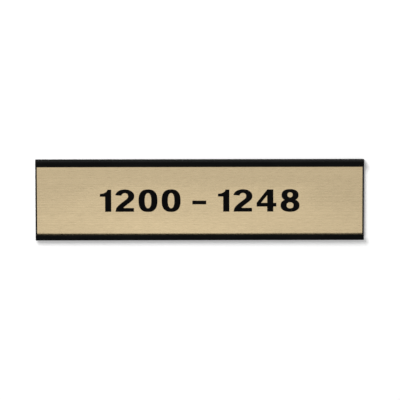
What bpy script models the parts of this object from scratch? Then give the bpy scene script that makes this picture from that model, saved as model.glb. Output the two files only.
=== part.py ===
"""Wall sign: an engraved two-ply plate that slides into a one-piece aluminium wall holder.

Metres, +Z up. The sign faces -Y. The wall is the plane y = 0, and the origin is the middle of the
adhesive face that sticks to it.
"""

import math

import bmesh
import bpy
from mathutils import Vector

# The plate: a black core ply under a brushed gold cap ply, sheared square.
PLATE_LENGTH = 0.2012
PLATE_HEIGHT = 0.0508
CORE_THICKNESS = 0.00135
CAP_THICKNESS = 0.0002

# The holder: one extruded section, sawn to length.
END_SETBACK = 0.0010  # the holder runs past the plate by this much at each end
BACK_WALL = 0.0017
RAIL_WALL = 0.0010
LIP_THICKNESS = 0.0009
LIP_OVERLAP = 0.0024  # how far each lip covers the face of the plate
FRONT_EDGE_RADIUS = 0.0008
LIP_EDGE_RADIUS = 0.0004
BACK_EDGE_RADIUS = 0.0004
CHANNEL_RADIUS = 0.00015
ARC_STEPS = 6

# How the plate runs in the channels.
EDGE_CLEARANCE = 0.0002
BACK_CLEARANCE = 0.00025
FRONT_CLEARANCE = 0.0003

# The foam pads on the back.
PAD_WIDTH = 0.0254
PAD_THICKNESS = 0.0008
PAD_END_MARGIN = 0.0139
PAD_EDGE_MARGIN = 0.0076

# Thickness of the glue between bonded faces.
BOND_LINE = 0.00005

# Everything below follows from the sizes above.
FRAME_LENGTH = PLATE_LENGTH + 2 * END_SETBACK
FRAME_HEIGHT = PLATE_HEIGHT + 2 * (EDGE_CLEARANCE + RAIL_WALL)
PLATE_THICKNESS = CORE_THICKNESS + BOND_LINE + CAP_THICKNESS
CHANNEL_WIDTH = BACK_CLEARANCE + PLATE_THICKNESS + FRONT_CLEARANCE
FRAME_DEPTH = BACK_WALL + CHANNEL_WIDTH + LIP_THICKNESS
FRAME_BACK_Y = -(PAD_THICKNESS + BOND_LINE)
PLATE_BACK_Y = FRAME_BACK_Y - BACK_WALL - BACK_CLEARANCE
PAD_HEIGHT = FRAME_HEIGHT - 2 * PAD_EDGE_MARGIN
PAD_PITCH = FRAME_LENGTH / 2 - PAD_END_MARGIN - PAD_WIDTH / 2


def finish(name, colour, roughness, metallic):
    """A plain Principled material."""
    material = bpy.data.materials.new(name)
    material.use_nodes = True
    shader = material.node_tree.nodes["Principled BSDF"]
    shader.inputs["Base Color"].default_value = (*colour, 1.0)
    shader.inputs["Roughness"].default_value = roughness
    shader.inputs["Metallic"].default_value = metallic
    return material


def place(obj, collection, material, parent=None):
    """Puts a piece in the sign's collection with its material, under its parent if it has one."""
    collection.objects.link(obj)
    obj.data.materials.append(material)
    if parent is not None:
        obj.parent = parent
        obj.matrix_parent_inverse = parent.matrix_basis.inverted()
    return obj


def slab(name, size, centre):
    """A square-cut block of sheet, centred on a point."""
    mesh = bpy.data.meshes.new(name)
    block = bmesh.new()
    bmesh.ops.create_cube(block, size=1.0)
    bmesh.ops.scale(block, vec=Vector(size), verts=block.verts)
    block.to_mesh(mesh)
    block.free()
    obj = bpy.data.objects.new(name, mesh)
    obj.location = centre
    return obj


def rounded(corners):
    """The outline through right-angled corners (across, up, radius), with each one turned into an arc."""
    points = []
    for i, (across, up, radius) in enumerate(corners):
        corner = Vector((across, up))
        to_last = (Vector(corners[i - 1][:2]) - corner).normalized()
        to_next = (Vector(corners[(i + 1) % len(corners)][:2]) - corner).normalized()
        centre = corner + radius * (to_last + to_next)
        for step in range(ARC_STEPS + 1):
            turn = math.pi / 2 * step / ARC_STEPS
            points.append(centre - radius * (math.cos(turn) * to_next + math.sin(turn) * to_last))
    return points


def frame_section():
    """The holder's section, seen from its +X end: y to the right and z up."""
    front = FRAME_BACK_Y - FRAME_DEPTH
    panel = FRAME_BACK_Y - BACK_WALL
    lip_back = panel - CHANNEL_WIDTH
    top = FRAME_HEIGHT / 2
    channel_top = top - RAIL_WALL
    lip_end = channel_top - EDGE_CLEARANCE - LIP_OVERLAP
    upper_half = [
        (FRAME_BACK_Y, top, BACK_EDGE_RADIUS),
        (front, top, FRONT_EDGE_RADIUS),
        (front, lip_end, LIP_EDGE_RADIUS),
        (lip_back, lip_end, CHANNEL_RADIUS),
        (lip_back, channel_top, CHANNEL_RADIUS),
        (panel, channel_top, CHANNEL_RADIUS),
    ]
    lower_half = [(y, -z, radius) for y, z, radius in reversed(upper_half)]
    return rounded(upper_half + lower_half)


def extrude_frame(name):
    """The section as a filled outline, extruded along X."""
    outline = frame_section()
    curve = bpy.data.curves.new(name, "CURVE")
    curve.dimensions = "2D"
    curve.fill_mode = "BOTH"
    curve.extrude = FRAME_LENGTH / 2
    spline = curve.splines.new("POLY")
    spline.points.add(len(outline) - 1)
    for point, (y, z) in zip(spline.points, outline):
        point.co = (y, z, 0.0, 1.0)
    spline.use_cyclic_u = True
    obj = bpy.data.objects.new(name, curve)
    obj.rotation_euler = (math.pi / 2, 0.0, math.pi / 2)
    return obj


for old in list(bpy.data.objects):
    bpy.data.objects.remove(old, do_unlink=True)

sign = bpy.data.collections.new("wall_sign")
bpy.context.scene.collection.children.link(sign)

black_anodised = finish("black_anodised", (0.012, 0.012, 0.013), 0.40, 0.0)
brushed_gold = finish("brushed_gold", (0.56, 0.45, 0.28), 0.38, 0.9)
black_core = finish("black_core", (0.008, 0.008, 0.008), 0.55, 0.0)
white_foam = finish("white_foam", (0.80, 0.79, 0.76), 0.85, 0.0)

place(extrude_frame("wall_frame"), sign, black_anodised)

# The plate's two plies move together along the channels, from an empty at the middle of the plate.
plate_slide = bpy.data.objects.new("plate_slide", None)
plate_slide.location = (0.0, PLATE_BACK_Y - PLATE_THICKNESS / 2, 0.0)
sign.objects.link(plate_slide)

core_y = PLATE_BACK_Y - CORE_THICKNESS / 2
cap_y = PLATE_BACK_Y - PLATE_THICKNESS + CAP_THICKNESS / 2
core_size = (PLATE_LENGTH, CORE_THICKNESS, PLATE_HEIGHT)
cap_size = (PLATE_LENGTH, CAP_THICKNESS, PLATE_HEIGHT)
place(slab("plate_core", core_size, (0.0, core_y, 0.0)), sign, black_core, plate_slide)
place(slab("plate_cap", cap_size, (0.0, cap_y, 0.0)), sign, brushed_gold, plate_slide)

# Three pads in a row, glued to the holder's back.
for place_name, offset in (("left", -PAD_PITCH), ("centre", 0.0), ("right", PAD_PITCH)):
    pad_size = (PAD_WIDTH, PAD_THICKNESS, PAD_HEIGHT)
    pad = slab(f"tape_pad_{place_name}", pad_size, (offset, -PAD_THICKNESS / 2, 0.0))
    place(pad, sign, white_foam)
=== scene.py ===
"""Looks of the wall sign: an engraved gold and black plate that slides into a black aluminium holder.

Metres, +Z up, in the frame of the solids: the sign faces -Y and its pads stick to the wall at y = 0.
"""

import math

import bmesh
import bpy
from mathutils import Matrix, Quaternion, Vector


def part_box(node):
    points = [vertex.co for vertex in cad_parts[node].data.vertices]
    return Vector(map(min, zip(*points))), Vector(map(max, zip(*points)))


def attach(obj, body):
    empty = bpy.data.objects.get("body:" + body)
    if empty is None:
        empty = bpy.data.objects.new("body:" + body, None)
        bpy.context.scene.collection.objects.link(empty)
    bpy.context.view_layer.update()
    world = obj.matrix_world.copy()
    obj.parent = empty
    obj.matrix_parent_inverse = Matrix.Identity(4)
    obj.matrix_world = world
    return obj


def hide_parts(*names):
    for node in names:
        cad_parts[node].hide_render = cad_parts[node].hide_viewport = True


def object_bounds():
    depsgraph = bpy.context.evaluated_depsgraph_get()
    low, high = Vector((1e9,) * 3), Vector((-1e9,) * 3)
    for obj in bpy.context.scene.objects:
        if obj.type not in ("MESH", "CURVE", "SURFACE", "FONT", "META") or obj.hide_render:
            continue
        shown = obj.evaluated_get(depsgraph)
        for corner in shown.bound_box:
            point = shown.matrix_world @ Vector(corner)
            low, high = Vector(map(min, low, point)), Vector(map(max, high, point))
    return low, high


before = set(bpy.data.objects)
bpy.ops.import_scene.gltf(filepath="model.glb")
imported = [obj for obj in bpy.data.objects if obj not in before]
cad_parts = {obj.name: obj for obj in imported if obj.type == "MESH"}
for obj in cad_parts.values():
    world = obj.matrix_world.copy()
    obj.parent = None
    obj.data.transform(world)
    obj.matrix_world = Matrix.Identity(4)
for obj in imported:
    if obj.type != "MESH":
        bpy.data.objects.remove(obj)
cad_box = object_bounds()


# The holder: one length of aluminium extrusion, a flat back panel with a lipped rail along each long edge.
# It is sawn square, its cut ends are eased with a file, and it is anodised satin black all over.
HOLDER_LOW, HOLDER_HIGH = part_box("wall_frame")
CORE_LOW, CORE_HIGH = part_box("plate_core")
CAP_LOW, CAP_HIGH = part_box("plate_cap")
PLAY_BEHIND_PLATE = 0.00025
PLAY_BEFORE_PLATE = 0.0003
PLAY_AT_EDGES = 0.0002
LIP_COVER = 0.0024  # how far each lip reaches over the plate
BACK_EDGE_RADIUS = 0.0004
FRONT_EDGE_RADIUS = 0.0008
LIP_FRONT_RADIUS = 0.00055
LIP_BACK_RADIUS = 0.0003
CHANNEL_RADIUS = 0.00015
ARC_STEPS = 10
ARC_HOLD = 0.00002  # a sliver of flat at each end of an arc keeps its shading off the face beside it
RING_SPACING = 0.002
RIM_ANGLE = math.radians(60)  # only the rims of the sawn ends are sharper than this
END_EASING = 0.00028  # less than the radius at the back of the lips
END_EASING_STEPS = 3
ROUND_PROFILE = 0.5
SAWN_FACING = 0.999  # a face that looks this squarely along X is a sawn one
BLACK_DYE = (0.0031, 0.0032, 0.0032, 1.0)
BLACK_DYE_WORN = (0.0051, 0.0052, 0.0052, 1.0)
BLACK_FLAT_SHEEN = (0.0078, 0.0078, 0.0082, 1.0)  # painted sheen: the back and the panel's broad flats are painted paler than the rails, streaked along the die's lines
BLACK_FLAT_SHEEN_PALE = (0.0166, 0.0166, 0.0174, 1.0)
BLACK_GLOSS = 0.009
BLACK_ROUGHNESS = (0.34, 0.46)
DIE_LINES = (6.0, 5000.0, 5000.0)  # marks to the metre along X, Y and Z, as in the next three
SAW_LINES = (1.0, 350.0, 6000.0)
WORN_PATCHES = (40.0, 160.0, 160.0)
FLAT_STREAKS = (0.1, 1.0, 900.0)
STREAK_DETAIL = 4.0
STREAK_RANGE = (0.35, 0.65)
SAW_TILT = math.radians(24)
LINE_DEPTH = 0.00002
LINE_STRENGTH = 0.25


def rounded(corners):
    """The outline through right-angled corners (across, up, radius), each one turned into an arc."""
    points = []
    for i, (across, up, radius) in enumerate(corners):
        corner = Vector((across, up))
        to_last = (Vector(corners[i - 1][:2]) - corner).normalized()
        to_next = (Vector(corners[(i + 1) % len(corners)][:2]) - corner).normalized()
        centre = corner + radius * (to_last + to_next)
        points.append(corner + (radius + ARC_HOLD) * to_last)
        for step in range(ARC_STEPS + 1):
            turn = math.pi / 2 * step / ARC_STEPS
            points.append(centre - radius * (math.cos(turn) * to_next + math.sin(turn) * to_last))
        points.append(corner + (radius + ARC_HOLD) * to_next)
    return points


def holder_section():
    """The extrusion's section in the sweep's own directions: across is -y and up is -z."""
    front, back = HOLDER_LOW.y, HOLDER_HIGH.y
    panel = CORE_HIGH.y + PLAY_BEHIND_PLATE
    lip_back = CAP_LOW.y - PLAY_BEFORE_PLATE
    top = HOLDER_HIGH.z
    channel_top = CORE_HIGH.z + PLAY_AT_EDGES
    lip_end = CORE_HIGH.z - LIP_COVER
    upper_half = [
        (back, top, BACK_EDGE_RADIUS),
        (front, top, FRONT_EDGE_RADIUS),
        (front, lip_end, LIP_FRONT_RADIUS),
        (lip_back, lip_end, LIP_BACK_RADIUS),
        (lip_back, channel_top, CHANNEL_RADIUS),
        (panel, channel_top, CHANNEL_RADIUS),
    ]
    lower_half = [(y, -z, radius) for y, z, radius in reversed(upper_half)]
    return rounded([(-y, -z, radius) for y, z, radius in upper_half + lower_half])


def put(obj):
    """Puts an object in the scene."""
    bpy.context.scene.collection.objects.link(obj)
    return obj


def flat_curve(name, outlines, fill):
    """A flat curve object of closed outlines. Where it is filled, an outline inside another is a hole."""
    curve = bpy.data.curves.new(name, "CURVE")
    curve.dimensions = "2D"
    curve.fill_mode = fill
    for outline in outlines:
        spline = curve.splines.new("POLY")
        spline.points.add(len(outline) - 1)
        for point, (across, up) in zip(spline.points, outline):
            point.co = (across, up, 0.0, 1.0)
        spline.use_cyclic_u = True
    return put(bpy.data.objects.new(name, curve))


def add(tree, kind, inputs=None, **settings):
    """A new node, with its settings, and its inputs given as values or as the sockets they link from."""
    node = tree.nodes.new(kind)
    for name, value in settings.items():
        setattr(node, name, value)
    for name, value in (inputs or {}).items():
        if isinstance(value, bpy.types.NodeSocket):
            tree.links.new(value, node.inputs[name])
        else:
            node.inputs[name].default_value = value
    return node


def maths(tree, operation, *values):
    """The result of a Math node, on values or sockets."""
    return add(tree, "ShaderNodeMath", dict(enumerate(values)), operation=operation).outputs[0]


def geometry_tree(name, inputs):
    """A Geometry Nodes tree with named inputs, and the sockets that give them inside it."""
    tree = bpy.data.node_groups.new(name, "GeometryNodeTree")
    tree.interface.new_socket("Geometry", in_out="INPUT", socket_type="NodeSocketGeometry")
    for label, kind in inputs.items():
        tree.interface.new_socket(label, in_out="INPUT", socket_type=f"NodeSocket{kind}")
    tree.interface.new_socket("Geometry", in_out="OUTPUT", socket_type="NodeSocketGeometry")
    return tree, add(tree, "NodeGroupInput").outputs


def end_tree(tree, geometry, finish):
    """Ends a tree with plain geometry in one finish."""
    real = add(tree, "GeometryNodeRealizeInstances", {"Geometry": geometry})
    finished = add(tree, "GeometryNodeSetMaterial", {"Geometry": real.outputs[0], "Material": finish})
    add(tree, "NodeGroupOutput", {"Geometry": finished.outputs[0]})


def extrusion_tree():
    """Sweeps a section along X, from end to end."""
    tree, given = geometry_tree("extrusion", {
        "Length": "Float", "Ring spacing": "Float", "Finish": "Material"})
    half = maths(tree, "MULTIPLY", given["Length"], 0.5)
    minus_half = maths(tree, "MULTIPLY", half, -1.0)
    line = add(tree, "GeometryNodeCurvePrimitiveLine", {
        "Start": add(tree, "ShaderNodeCombineXYZ", {"X": minus_half}).outputs[0],
        "End": add(tree, "ShaderNodeCombineXYZ", {"X": half}).outputs[0]})
    rings = add(tree, "GeometryNodeResampleCurve", {
        "Curve": line.outputs[0], "Length": given["Ring spacing"]}, mode="LENGTH")
    sweep = add(tree, "GeometryNodeCurveToMesh", {
        "Curve": rings.outputs[0], "Profile Curve": given["Geometry"], "Fill Caps": True})
    end_tree(tree, sweep.outputs[0], given["Finish"])
    return tree


def settled(name, host):
    """A plain mesh piece of what a host object's curve or modifiers make. The host is removed."""
    depsgraph = bpy.context.evaluated_depsgraph_get()
    mesh = bpy.data.meshes.new_from_object(host.evaluated_get(depsgraph), depsgraph=depsgraph)
    bpy.data.objects.remove(host)
    mesh.name = name
    return put(bpy.data.objects.new(name, mesh))


def grown(name, host, tree, values):
    """The piece that a tree grows from a host object, with the tree's named inputs set."""
    growth = host.modifiers.new("growth", "NODES")
    growth.node_group = tree
    for item in tree.interface.items_tree:
        if item.in_out == "INPUT" and item.name in values:
            growth[item.identifier] = values[item.name]
    return settled(name, host)


def new_finish(name):
    """A material, its node tree, its shader, and the socket of the piece's own coordinates."""
    finish = bpy.data.materials.new(name)
    finish.use_nodes = True
    tree = finish.node_tree
    return finish, tree, tree.nodes["Principled BSDF"], add(tree, "ShaderNodeTexCoord").outputs["Object"]


def grain(tree, place, per_metre, detail=3.0, turn=(0.0, 0.0, 0.0)):
    """Noise from 0 to 1 with so many marks to the metre along X, Y and Z."""
    mapped = add(tree, "ShaderNodeMapping", {"Vector": place, "Rotation": turn, "Scale": per_metre})
    noise = add(tree, "ShaderNodeTexNoise", {"Vector": mapped.outputs[0], "Scale": 1.0, "Detail": detail})
    return noise.outputs["Fac"]


def between(tree, amount, low, high, start=0.3, end=0.7):
    """A number that goes from low to high as the amount goes from start to end.

    Without a start and an end, it takes the span where most noise lies.
    """
    ranged = add(tree, "ShaderNodeMapRange", {
        "Value": amount, "From Min": start, "From Max": end, "To Min": low, "To Max": high})
    return ranged.outputs["Result"]


def mixed(tree, amount, first, second):
    """A number between two, by an amount from 0 to 1."""
    return add(tree, "ShaderNodeMix", {"Factor": amount, "A": first, "B": second}).outputs["Result"]


def blended(tree, amount, first, second):
    """A colour between two, by an amount from 0 to 1. The node's colours are its sockets 6, 7 and 2."""
    return add(tree, "ShaderNodeMix", {"Factor": amount, 6: first, 7: second}, data_type="RGBA").outputs[2]


def relief(tree, shader, height, depth, strength):
    """Gives a shader the bump of a height from 0 to 1 that is so deep."""
    bump = add(tree, "ShaderNodeBump", {"Height": height, "Distance": depth, "Strength": strength})
    tree.links.new(bump.outputs["Normal"], shader.inputs["Normal"])


def black_anodised():
    """Satin black, with the die's lines along the metal and the saw's across its two ends; the back and
    flats carry a painted sheen.
    """
    finish, tree, shader, place = new_finish("black_anodised")
    along, depth, up = add(tree, "ShaderNodeSeparateXYZ", {"Vector": place}).outputs
    die_lines = grain(tree, place, DIE_LINES)
    saw_lines = grain(tree, place, SAW_LINES, turn=(SAW_TILT, 0.0, 0.0))
    at_end = maths(tree, "GREATER_THAN", maths(tree, "ABSOLUTE", along), HOLDER_HIGH.x - END_EASING)
    lines = mixed(tree, at_end, die_lines, saw_lines)
    tree.links.new(between(tree, lines, *BLACK_ROUGHNESS), shader.inputs["Roughness"])
    relief(tree, shader, lines, LINE_DEPTH, LINE_STRENGTH)

    worn = between(tree, grain(tree, place, WORN_PATCHES), 0.0, 1.0)
    rails = blended(tree, worn, BLACK_DYE, BLACK_DYE_WORN)
    # Painted sheen: the back and the panel's flats behind the plate are painted paler than the rails, in
    # streaks along X.
    streaks = grain(tree, place, FLAT_STREAKS, detail=STREAK_DETAIL)
    streaked = between(tree, streaks, 0.0, 1.0, *STREAK_RANGE)
    streaks_and_sheen = blended(tree, streaked, BLACK_FLAT_SHEEN, BLACK_FLAT_SHEEN_PALE)
    on_back = between(tree, depth, 0.0, 1.0, HOLDER_HIGH.y - BACK_EDGE_RADIUS, HOLDER_HIGH.y)
    behind_plate = maths(tree, "GREATER_THAN", depth, CORE_HIGH.y)
    from_middle = maths(tree, "ABSOLUTE", up)
    off_rails = between(tree, from_middle, 1.0, 0.0, CORE_HIGH.z - LIP_COVER, CORE_HIGH.z)
    on_panel = maths(tree, "MULTIPLY", behind_plate, off_rails)
    on_streaks_and_sheen = maths(tree, "MAXIMUM", on_back, on_panel)
    tree.links.new(blended(tree, on_streaks_and_sheen, rails, streaks_and_sheen), shader.inputs["Base Color"])
    shader.inputs["Specular IOR Level"].default_value = BLACK_GLOSS
    return finish


def ease_ends(piece):
    """Rounds the rims of the two sawn ends, and shades the sawn faces flat."""
    body = bmesh.new()
    body.from_mesh(piece.data)
    bmesh.ops.recalc_face_normals(body, faces=body.faces)
    rims = [edge for edge in body.edges if edge.calc_face_angle() > RIM_ANGLE]
    bmesh.ops.bevel(body, geom=rims, affect="EDGES", offset_type="OFFSET", offset=END_EASING,
                    segments=END_EASING_STEPS, profile=ROUND_PROFILE, clamp_overlap=False)
    for face in body.faces:
        face.smooth = abs(face.normal.x) < SAWN_FACING
    body.to_mesh(piece.data)
    body.free()


holder = grown("holder", flat_curve("holder_section", [holder_section()], "NONE"), extrusion_tree(), {
    "Length": HOLDER_HIGH.x - HOLDER_LOW.x, "Ring spacing": RING_SPACING, "Finish": black_anodised()})
ease_ends(holder)
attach(holder, "holder")
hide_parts("wall_frame")


# The sticking pads: three pieces of double-sided foam tape in a row on the holder's back.
# Each is closed-cell white foam between two adhesive skins, cut from a roll and pressed on.
PAD_LOW, PAD_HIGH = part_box("tape_pad_centre")
PAD_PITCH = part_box("tape_pad_right")[1].x - PAD_HIGH.x
PAD_COUNT = 3
PAD_CORNER_RADIUS = 0.0006
PAD_CORNER_STEPS = 6
PAD_EDGE_SPACING = 0.0006
PAD_LAYERS = 6
PAD_PINCH = 0.00016  # how far the foam's cut edges draw in between the skins
PAD_RAGGED = 0.00010  # the most that they draw in further, here and there
PAD_RAGGED_SCALE = 900.0
PAD_RAGGED_DETAIL = 2.0
PAD_SEED = 4.0
SKIN_THICKNESS = 0.00004
WELD = 0.000001  # points this close are one
FOAM_WHITE = (0.80, 0.79, 0.75, 1.0)
FOAM_SHADE = (0.66, 0.65, 0.61, 1.0)
FOAM_ROUGHNESS = 0.85
FOAM_CELLS = 4200.0
CELL_RANGE = (0.15, 0.65)
ADHESIVE = (0.76, 0.74, 0.68, 1.0)
SKIN_ROUGHNESS = 0.42
SKIN_RUMPLE = (260.0, 260.0, 260.0)
FOAM_DEPTH = 0.00006
FOAM_STRENGTH = 0.5


def foam_tape():
    """White foam with small cells on its cut edges, under a slightly yellow tacky skin."""
    finish, tree, shader, place = new_finish("white_foam")
    depth = add(tree, "ShaderNodeSeparateXYZ", {"Vector": place}).outputs["Y"]
    on_skin = maths(tree, "GREATER_THAN", depth, PAD_HIGH.y - SKIN_THICKNESS)
    cells = add(tree, "ShaderNodeTexVoronoi", {"Vector": place, "Scale": FOAM_CELLS}).outputs["Distance"]
    rumple = grain(tree, place, SKIN_RUMPLE)
    foam = blended(tree, between(tree, cells, 0.0, 1.0, *CELL_RANGE), FOAM_SHADE, FOAM_WHITE)
    skin = blended(tree, between(tree, rumple, 0.0, 1.0), ADHESIVE, FOAM_WHITE)
    tree.links.new(blended(tree, on_skin, foam, skin), shader.inputs["Base Color"])
    tree.links.new(mixed(tree, on_skin, FOAM_ROUGHNESS, SKIN_ROUGHNESS), shader.inputs["Roughness"])
    relief(tree, shader, mixed(tree, on_skin, cells, rumple), FOAM_DEPTH, FOAM_STRENGTH)
    return finish


def pad_tree():
    """A row of pads along X: a rounded rectangle, raised in layers whose edges draw in at the middle."""
    tree, given = geometry_tree("tape_pads", {
        "Count": "Int", "Pitch": "Float", "Width": "Float", "Height": "Float", "Thickness": "Float",
        "Corner radius": "Float", "Pinch": "Float", "Ragged": "Float", "Seed": "Float",
        "Finish": "Material"})
    rectangle = add(tree, "GeometryNodeCurvePrimitiveQuadrilateral", {
        "Width": given["Width"], "Height": given["Height"]})
    corners = add(tree, "GeometryNodeFilletCurve", {
        "Curve": rectangle.outputs[0], "Radius": given["Corner radius"],
        "Count": PAD_CORNER_STEPS}, mode="POLY")
    edge = add(tree, "GeometryNodeResampleCurve", {
        "Curve": corners.outputs[0], "Length": PAD_EDGE_SPACING}, mode="LENGTH")
    skin = add(tree, "GeometryNodeFillCurve", {"Curve": edge.outputs[0]}, mode="NGONS").outputs[0]
    layer = maths(tree, "DIVIDE", given["Thickness"], PAD_LAYERS)
    raised, top = skin, True
    for _ in range(PAD_LAYERS):
        step = add(tree, "GeometryNodeExtrudeMesh", {
            "Mesh": raised, "Selection": top, "Offset Scale": layer, "Individual": False}, mode="FACES")
        raised, top = step.outputs["Mesh"], step.outputs["Top"]
    bottom = add(tree, "GeometryNodeFlipFaces", {"Mesh": skin})
    both = add(tree, "GeometryNodeJoinGeometry")
    tree.links.new(raised, both.inputs[0])
    tree.links.new(bottom.outputs[0], both.inputs[0])
    block = add(tree, "GeometryNodeMergeByDistance", {"Geometry": both.outputs[0], "Distance": WELD})

    # At a share t of the thickness the edge draws in by 4 t (1 - t) times its pinch and ragged extra.
    place = add(tree, "GeometryNodeInputPosition").outputs[0]
    up = add(tree, "ShaderNodeSeparateXYZ", {"Vector": place}).outputs["Z"]
    share = maths(tree, "DIVIDE", up, given["Thickness"])
    waist = maths(tree, "MULTIPLY", share, maths(tree, "SUBTRACT", 1.0, share))
    wander = add(tree, "ShaderNodeTexNoise", {
        "Vector": place, "W": given["Seed"], "Scale": PAD_RAGGED_SCALE,
        "Detail": PAD_RAGGED_DETAIL}, noise_dimensions="4D").outputs["Fac"]
    most = maths(tree, "MULTIPLY_ADD", wander, given["Ragged"], given["Pinch"])
    inward = maths(tree, "MULTIPLY", maths(tree, "MULTIPLY", waist, most), -4.0)
    outward = add(tree, "GeometryNodeInputNormal").outputs[0]
    offset = add(tree, "ShaderNodeVectorMath", {0: outward, "Scale": inward}, operation="SCALE").outputs[0]
    pinched = add(tree, "GeometryNodeSetPosition", {"Geometry": block.outputs[0], "Offset": offset})

    gaps = maths(tree, "SUBTRACT", given["Count"], 1.0)
    first = maths(tree, "MULTIPLY", maths(tree, "MULTIPLY", gaps, -0.5), given["Pitch"])
    row = add(tree, "GeometryNodeMeshLine", {
        "Count": given["Count"],
        "Start Location": add(tree, "ShaderNodeCombineXYZ", {"X": first}).outputs[0],
        "Offset": add(tree, "ShaderNodeCombineXYZ", {"X": given["Pitch"]}).outputs[0]})
    row_of_pads = add(tree, "GeometryNodeInstanceOnPoints", {
        "Points": row.outputs[0], "Instance": pinched.outputs[0]})
    end_tree(tree, row_of_pads.outputs[0], given["Finish"])
    return tree


pad_host = put(bpy.data.objects.new("pad_row", bpy.data.meshes.new("pad_row")))
pads = grown("tape_pads", pad_host, pad_tree(), {
    "Count": PAD_COUNT, "Pitch": PAD_PITCH, "Width": PAD_HIGH.x - PAD_LOW.x,
    "Height": PAD_HIGH.z - PAD_LOW.z, "Thickness": PAD_HIGH.y - HOLDER_HIGH.y,
    "Corner radius": PAD_CORNER_RADIUS, "Pinch": PAD_PINCH, "Ragged": PAD_RAGGED, "Seed": PAD_SEED,
    "Finish": foam_tape()})
pads.data.transform(Matrix.Translation((0.0, PAD_HIGH.y, 0.0)) @ Matrix.Rotation(math.pi / 2, 4, "X"))
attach(pads, "holder")
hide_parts("tape_pad_left", "tape_pad_centre", "tape_pad_right")


# The plate's core: the thick lower ply of a two-ply engraving sheet, solid matte black plastic.
# The cutter goes through the cap and a little way into it, so the figures show its black.
FIGURES = "1200 - 1248"
FIGURE_HEIGHT = 0.0150
FIGURES_LENGTH = 0.1235
CUT_INTO_CORE = 0.00012
CUTTER_REACH = 0.00012  # how far the cutter stands out before the face that it cuts
PLATE_EDGE_EASING = 0.00006
PLATE_EASING_STEPS = 2
SHARP_ANGLE = math.radians(25)
FIGURE_GAP = 0.15  # a share of the height, like the next five, before the row is stretched to its length
WORD_GAP = 0.42
STEM = 0.222
BAR = 0.170
DASH_LENGTH = 0.50
DASH_UP = 0.33
CORE_BLACK = (0.0012, 0.0012, 0.0013, 1.0)
CORE_GREY = (0.0026, 0.0026, 0.0027, 1.0)
CORE_GLOSS = 0.02
CORE_ROUGHNESS = (0.50, 0.66)
CORE_PATCHES = (60.0, 60.0, 60.0)
CORE_PEEL = (2600.0, 2600.0, 2600.0)
PEEL_DEPTH = 0.00003
PEEL_STRENGTH = 0.35


def oval(across, up, half_width, half_height, start=0, end=360, steps=48, square=2.3):
    """Points along an oval between two angles; square is 2 for an ellipse, and more for fuller corners."""
    points = []
    for step in range(steps + 1):
        turn = math.radians(start + (end - start) * step / steps)
        right, rise = math.cos(turn), math.sin(turn)
        points.append((across + half_width * math.copysign(abs(right) ** (2 / square), right),
                       up + half_height * math.copysign(abs(rise) ** (2 / square), rise)))
    return points


def ring(*sizes, **options):
    """A whole oval."""
    return oval(*sizes, **options)[:-1]


def stroke_sides(path):
    """The left and right sides of a stroke that is a stem wide going up and a bar wide going across."""
    left, right = [], []
    for i, (across, up) in enumerate(path):
        before, after = path[max(i - 1, 0)], path[min(i + 1, len(path) - 1)]
        way = (Vector(after) - Vector(before)).normalized()
        side = Vector((-way.y * (STEM / 2) ** 2, way.x * (BAR / 2) ** 2))
        side /= math.hypot(way.y * STEM / 2, way.x * BAR / 2)
        left.append((across + side.x, up + side.y))
        right.append((across - side.x, up - side.y))
    return left, right


def bend(start, start_pull, end_pull, end, steps=16):
    """Points along a cubic curve, after its start."""
    corners = (start, start_pull, end_pull, end)
    points = []
    for step in range(1, steps + 1):
        share = step / steps
        rest = 1 - share
        weights = (rest ** 3, 3 * rest * rest * share, 3 * rest * share * share, share ** 3)
        points.append(tuple(sum(weight * corner[axis] for weight, corner in zip(weights, corners))
                            for axis in (0, 1)))
    return points


def figure_0():
    """An oval with an oval hole, a little taller than the straight figures, as round ones are drawn."""
    half_width, half_height, middle = 0.34, 0.51, 0.5
    hole = ring(half_width, middle, half_width - STEM, half_height - BAR)
    return [ring(half_width, middle, half_width, half_height, square=2.5), hole]


def figure_1():
    """A stem, and a flag that curves down to the left from its top."""
    width, flag_reach, flag_drop, flag_foot, steps = 0.41, 0.27, 0.19, 0.68, 10
    turns = [math.pi / 2 * step / steps for step in range(steps + 1)]
    flag = [(flag_reach * math.cos(turn), 1.0 - flag_drop * math.sin(turn)) for turn in turns]
    stem = [(width - STEM, 0.0), (width, 0.0), (width, 1.0)]
    return [stem + flag + [(0.0, 1.0 - flag_drop), (0.0, flag_foot), (width - STEM, flag_foot)]]


def figure_2():
    """A bowl that runs into a bent spine, on a straight bar."""
    width, spine_meets_bar, heel = 0.665, 0.33, 0.02
    bowl = oval(across=0.335, up=0.70, half_width=0.232, half_height=0.225,
                start=172, end=-28, steps=36, square=2.1)
    turn_in, foot = bowl[-1], (0.135, 0.13)
    spine = bend(start=turn_in, start_pull=(turn_in[0] - 0.055, turn_in[1] - 0.10),
                 end_pull=(foot[0] + 0.06, foot[1] + 0.155), end=foot)
    outer, inner = stroke_sides(bowl + spine)
    above_bar = [point for point in outer if point[1] > BAR]
    bar = [(spine_meets_bar, BAR), (width, BAR), (width, 0.0), (0.0, 0.0), (0.0, heel)]
    return [above_bar + bar + inner[::-1]]


def figure_4():
    """A stem and a bar that cross, and a slope from the bar's left end to the top, round a hollow."""
    width, stem_right, bar_up, point_up, shoulder, hollow = 0.71, 0.60, 0.225, 0.40, 0.385, 0.160
    stem_left, bar_top = stem_right - STEM, bar_up + BAR
    hollow_top = bar_top + (stem_left - hollow) * (1.0 - point_up) / shoulder
    body = [(0.0, bar_up), (stem_left, bar_up), (stem_left, 0.0), (stem_right, 0.0), (stem_right, bar_up),
            (width, bar_up), (width, bar_top), (stem_right, bar_top), (stem_right, 1.0), (shoulder, 1.0),
            (0.0, point_up)]
    return [body, [(stem_left, bar_top), (stem_left, hollow_top), (hollow, bar_top)]]


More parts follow.
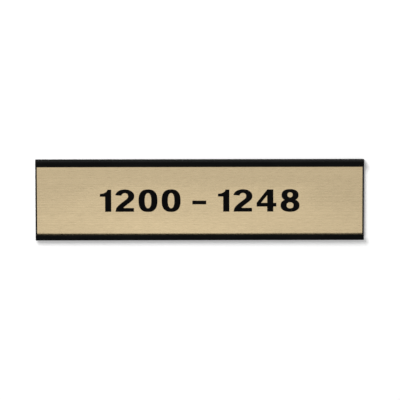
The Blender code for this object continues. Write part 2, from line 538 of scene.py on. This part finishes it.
def figure_8():
    """A small oval on a larger one, each with its hole."""
    middle, waist = 0.34, 0.525
    upper = oval(middle, up=0.745, half_width=0.305, half_height=0.268, start=-90, end=270, steps=64)
    lower = oval(middle, up=0.277, half_width=0.34, half_height=0.29, start=90, end=450, steps=64)
    body = [point for point in upper if point[1] > waist] + [point for point in lower if point[1] < waist]
    upper_hole = ring(middle, up=0.752, half_width=0.315 - STEM, half_height=0.112)
    lower_hole = ring(middle, up=0.280, half_width=0.345 - STEM, half_height=0.134)
    return [body, upper_hole, lower_hole]


def figure_dash():
    """A bar, a little below the middle."""
    top = DASH_UP + BAR
    return [[(0.0, DASH_UP), (DASH_LENGTH, DASH_UP), (DASH_LENGTH, top), (0.0, top)]]


def figure_outlines():
    """The outlines of the whole row of figures, at full size, with its middle at 0, 0."""
    drawn = {"0": figure_0(), "1": figure_1(), "2": figure_2(), "4": figure_4(), "8": figure_8(),
             "-": figure_dash()}
    row, reach = [], 0.0
    for mark in FIGURES:
        if mark == " ":
            reach += WORD_GAP - FIGURE_GAP
            continue
        for outline in drawn[mark]:
            row.append([(reach + across, up) for across, up in outline])
        reach += max(across for outline in drawn[mark] for across, up in outline) + FIGURE_GAP
    natural_length = reach - FIGURE_GAP
    stretch = FIGURES_LENGTH / natural_length
    return [[((across - natural_length / 2) * stretch, (up - 0.5) * FIGURE_HEIGHT)
             for across, up in outline] for outline in row]


def figure_cutter(front, back):
    """A closed block of every figure, between two depths of the plate."""
    outlines = flat_curve("figures", figure_outlines(), "BOTH")
    outlines.data.extrude = (back - front) / 2
    cutter = settled("figure_cutter", outlines)
    body = bmesh.new()
    body.from_mesh(cutter.data)
    bmesh.ops.remove_doubles(body, verts=body.verts, dist=WELD)
    bmesh.ops.beautify_fill(body, faces=body.faces, edges=body.edges)
    bmesh.ops.recalc_face_normals(body, faces=body.faces)
    body.to_mesh(cutter.data)
    body.free()
    middle_of_plate = Vector((0.0, (front + back) / 2, (CAP_LOW.z + CAP_HIGH.z) / 2))
    cutter.data.transform(Matrix.Translation(middle_of_plate) @ Matrix.Rotation(math.pi / 2, 4, "X"))
    return cutter


def engraved_slab(name, low, high, cut_back, finish):
    """A sheet of the plate with eased edges and the figures cut in from its face to a given depth."""
    body = bmesh.new()
    bmesh.ops.create_cube(body, size=1.0)
    bmesh.ops.scale(body, vec=high - low, verts=body.verts)
    bmesh.ops.translate(body, vec=(low + high) / 2, verts=body.verts)
    bmesh.ops.bevel(body, geom=body.edges, affect="EDGES", offset=PLATE_EDGE_EASING,
                    segments=PLATE_EASING_STEPS, profile=ROUND_PROFILE)
    mesh = bpy.data.meshes.new(name)
    body.to_mesh(mesh)
    body.free()
    mesh.materials.append(finish)
    sheet = put(bpy.data.objects.new(name, mesh))
    cutter = figure_cutter(low.y - CUTTER_REACH, cut_back)
    cutter.data.materials.append(finish)
    engraving = sheet.modifiers.new("engraving", "BOOLEAN")
    engraving.operation = "DIFFERENCE"
    engraving.object = cutter
    piece = settled(name, sheet)
    bpy.data.objects.remove(cutter)
    piece.data.shade_smooth()
    piece.data.set_sharp_from_angle(angle=SHARP_ANGLE)
    return piece


def matte_core():
    """Matte black plastic with the fine orange peel of rolled sheet."""
    finish, tree, shader, place = new_finish("black_core")
    peel = grain(tree, place, CORE_PEEL)
    patches = between(tree, grain(tree, place, CORE_PATCHES), 0.0, 1.0)
    tree.links.new(blended(tree, patches, CORE_BLACK, CORE_GREY), shader.inputs["Base Color"])
    tree.links.new(between(tree, peel, *CORE_ROUGHNESS), shader.inputs["Roughness"])
    shader.inputs["Specular IOR Level"].default_value = CORE_GLOSS
    relief(tree, shader, peel, PEEL_DEPTH, PEEL_STRENGTH)
    return finish


core = engraved_slab("engraved_core", CORE_LOW, CORE_HIGH, CORE_LOW.y + CUT_INTO_CORE, matte_core())
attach(core, "plate")
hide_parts("plate_core")


# The plate's cap: the thin upper ply of the same sheet, metallic gold brushed along its length.
# It is bonded to the core all over, and the figures are cut right through it.
GOLD_DEEP = (0.396, 0.313, 0.188, 1.0)
GOLD_PALE = (0.629, 0.502, 0.309, 1.0)
GOLD_METALLIC = 0.92
BRUSH_HAIRS = (170.0, 1.0, 4200.0)
BRUSH_STRANDS = (1.2, 1.0, 3000.0)
STRAND_DETAIL = 1.0
STRAND_SHARE = 0.55
BRUSH_ROUGHNESS = (0.26, 0.29)
HAIR_DEPTH = 0.00001
HAIR_STRENGTH = 0.08


def brushed_gold():
    """Gold with straight brush lines along X: short fine hairs, in longer strands."""
    finish, tree, shader, place = new_finish("brushed_gold")
    hairs = grain(tree, place, BRUSH_HAIRS)
    strands = grain(tree, place, BRUSH_STRANDS, detail=STRAND_DETAIL)
    lines = mixed(tree, STRAND_SHARE, hairs, strands)
    tone = blended(tree, between(tree, lines, 0.0, 1.0), GOLD_DEEP, GOLD_PALE)
    tree.links.new(tone, shader.inputs["Base Color"])
    tree.links.new(between(tree, lines, *BRUSH_ROUGHNESS), shader.inputs["Roughness"])
    shader.inputs["Metallic"].default_value = GOLD_METALLIC
    relief(tree, shader, hairs, HAIR_DEPTH, HAIR_STRENGTH)
    return finish


cap_back = Vector((CAP_HIGH.x, CORE_LOW.y, CAP_HIGH.z))
cap = engraved_slab("gold_cap", CAP_LOW, cap_back, CORE_LOW.y + CUT_INTO_CORE, brushed_gold())
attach(cap, "plate")
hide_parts("plate_cap")


# The studio: a white wall that the pads stick to, open from behind, and a pale floor well below the sign.
# A soft lamp high on the left throws the shadow down and to the right, with fill from below and behind.
WALL_BACK = 0.0003  # a hair behind the pads, so that no two faces lie in one plane
STAGE_REACH = 1.50
FADE_START = 1.00  # from here the stage fades into the white round it, which it has become at its reach
FLOOR_UP = -0.40
WALL_WHITE = (0.97, 0.97, 0.97, 1.0)
WALL_LIFT = 0.165
FLOOR_WHITE = (0.88, 0.88, 0.88, 1.0)
FLOOR_LIFT = 0.20
FULL_WHITE = (1.0, 1.0, 1.0, 1.0)
AMBIENT = 0.42
KEY_PLACE = Vector((-0.27, -0.78, 0.74))
KEY_SIZE = 0.42
KEY_POWER = 11.0
FILL_PLACE = Vector((0.0, -0.32, -0.218))
FILL_SIZE = 0.20
FILL_POWER = 0.018
BACK_PLACE = Vector((0.50, 0.80, 0.30))
BACK_SIZE = 0.60
BACK_POWER = 9.0


def seen_directly(tree):
    """1 for the rays that see the backdrop itself, straight or in metal and glass, and 0 for its light."""
    path = add(tree, "ShaderNodeLightPath").outputs
    seen = maths(tree, "MAXIMUM", path["Is Camera Ray"], path["Is Glossy Ray"])
    return maths(tree, "MAXIMUM", seen, path["Is Transmission Ray"])


def stage_white(name, colour, lift):
    """Matte white that keeps shadows, lifted where it is seen, and clear from behind and far out."""
    finish, tree, shader, place = new_finish(name)
    shader.inputs["Base Color"].default_value = colour
    shader.inputs["Roughness"].default_value = 1.0
    shader.inputs["Specular IOR Level"].default_value = 0.0
    shader.inputs["Emission Color"].default_value = FULL_WHITE
    glow = maths(tree, "MULTIPLY", seen_directly(tree), lift)
    tree.links.new(glow, shader.inputs["Emission Strength"])
    behind = add(tree, "ShaderNodeNewGeometry").outputs["Backfacing"]
    distance = add(tree, "ShaderNodeVectorMath", {0: place}, operation="LENGTH").outputs["Value"]
    far_out = between(tree, distance, 0.0, 1.0, FADE_START, STAGE_REACH)
    sheet = add(tree, "ShaderNodeMixShader", {
        0: maths(tree, "MAXIMUM", behind, far_out), 1: shader.outputs[0],
        2: add(tree, "ShaderNodeBsdfTransparent").outputs[0]})
    tree.links.new(sheet.outputs[0], tree.nodes["Material Output"].inputs["Surface"])
    return finish


def stage_sheet(name, corners, finish):
    """One flat sheet of the stage, seen from the side that its corners go round anticlockwise."""
    mesh = bpy.data.meshes.new(name)
    mesh.from_pydata(corners, [], [range(len(corners))])
    mesh.materials.append(finish)
    sheet = put(bpy.data.objects.new(name, mesh))
    sheet.visible_shadow = False
    sheet.visible_diffuse = False


def lamp(name, place, size, power):
    """A square soft lamp aimed at the sign."""
    light = bpy.data.lights.new(name, "AREA")
    light.size = size
    light.energy = power
    stand = put(bpy.data.objects.new(name, light))
    stand.location = place
    stand.rotation_euler = (-place).to_track_quat("-Z", "Y").to_euler()
    stand.visible_camera = False


stage_sheet("wall", [
    (-STAGE_REACH, WALL_BACK, FLOOR_UP), (STAGE_REACH, WALL_BACK, FLOOR_UP),
    (STAGE_REACH, WALL_BACK, STAGE_REACH), (-STAGE_REACH, WALL_BACK, STAGE_REACH),
], stage_white("wall_white", WALL_WHITE, WALL_LIFT))
stage_sheet("floor", [
    (-STAGE_REACH, -STAGE_REACH, FLOOR_UP), (STAGE_REACH, -STAGE_REACH, FLOOR_UP),
    (STAGE_REACH, STAGE_REACH, FLOOR_UP), (-STAGE_REACH, STAGE_REACH, FLOOR_UP),
], stage_white("floor_white", FLOOR_WHITE, FLOOR_LIFT))
lamp("key", KEY_PLACE, KEY_SIZE, KEY_POWER)
lamp("fill", FILL_PLACE, FILL_SIZE, FILL_POWER)
lamp("back", BACK_PLACE, BACK_SIZE, BACK_POWER)

world = bpy.data.worlds.new("studio")
world.use_nodes = True
bpy.context.scene.world = world
sky = world.node_tree.nodes["Background"]
sky.inputs["Color"].default_value = FULL_WHITE
level = between(world.node_tree, seen_directly(world.node_tree), AMBIENT, 1.0, 0.0, 1.0)
world.node_tree.links.new(level, sky.inputs["Strength"])


# The camera: well back and above with a very long lens, looking down on the sign.
# The picture is square, and the sign fills most of its width.
CAMERA_RISE = math.radians(23.95)
CAMERA_ROLL = math.radians(0.1)
CAMERA_DISTANCE = 8.0
PICTURE_WIDTH = 0.2474
AIM_OFFSET = Vector((0.0002, 0.0, -0.0003))

camera = put(bpy.data.objects.new("camera", bpy.data.cameras.new("camera")))
camera.data.lens = camera.data.sensor_width * CAMERA_DISTANCE / PICTURE_WIDTH
camera.data.clip_end = 2 * CAMERA_DISTANCE
to_camera = Vector((0.0, -math.cos(CAMERA_RISE), math.sin(CAMERA_RISE)))
camera.location = (cad_box[0] + cad_box[1]) / 2 + AIM_OFFSET + CAMERA_DISTANCE * to_camera
camera.rotation_euler = (Quaternion((1.0, 0.0, 0.0), math.pi / 2 - CAMERA_RISE)
                         @ Quaternion((0.0, 0.0, 1.0), -CAMERA_ROLL)).to_euler()
bpy.context.scene.camera = camera
bpy.context.scene.view_settings.view_transform = "Standard"
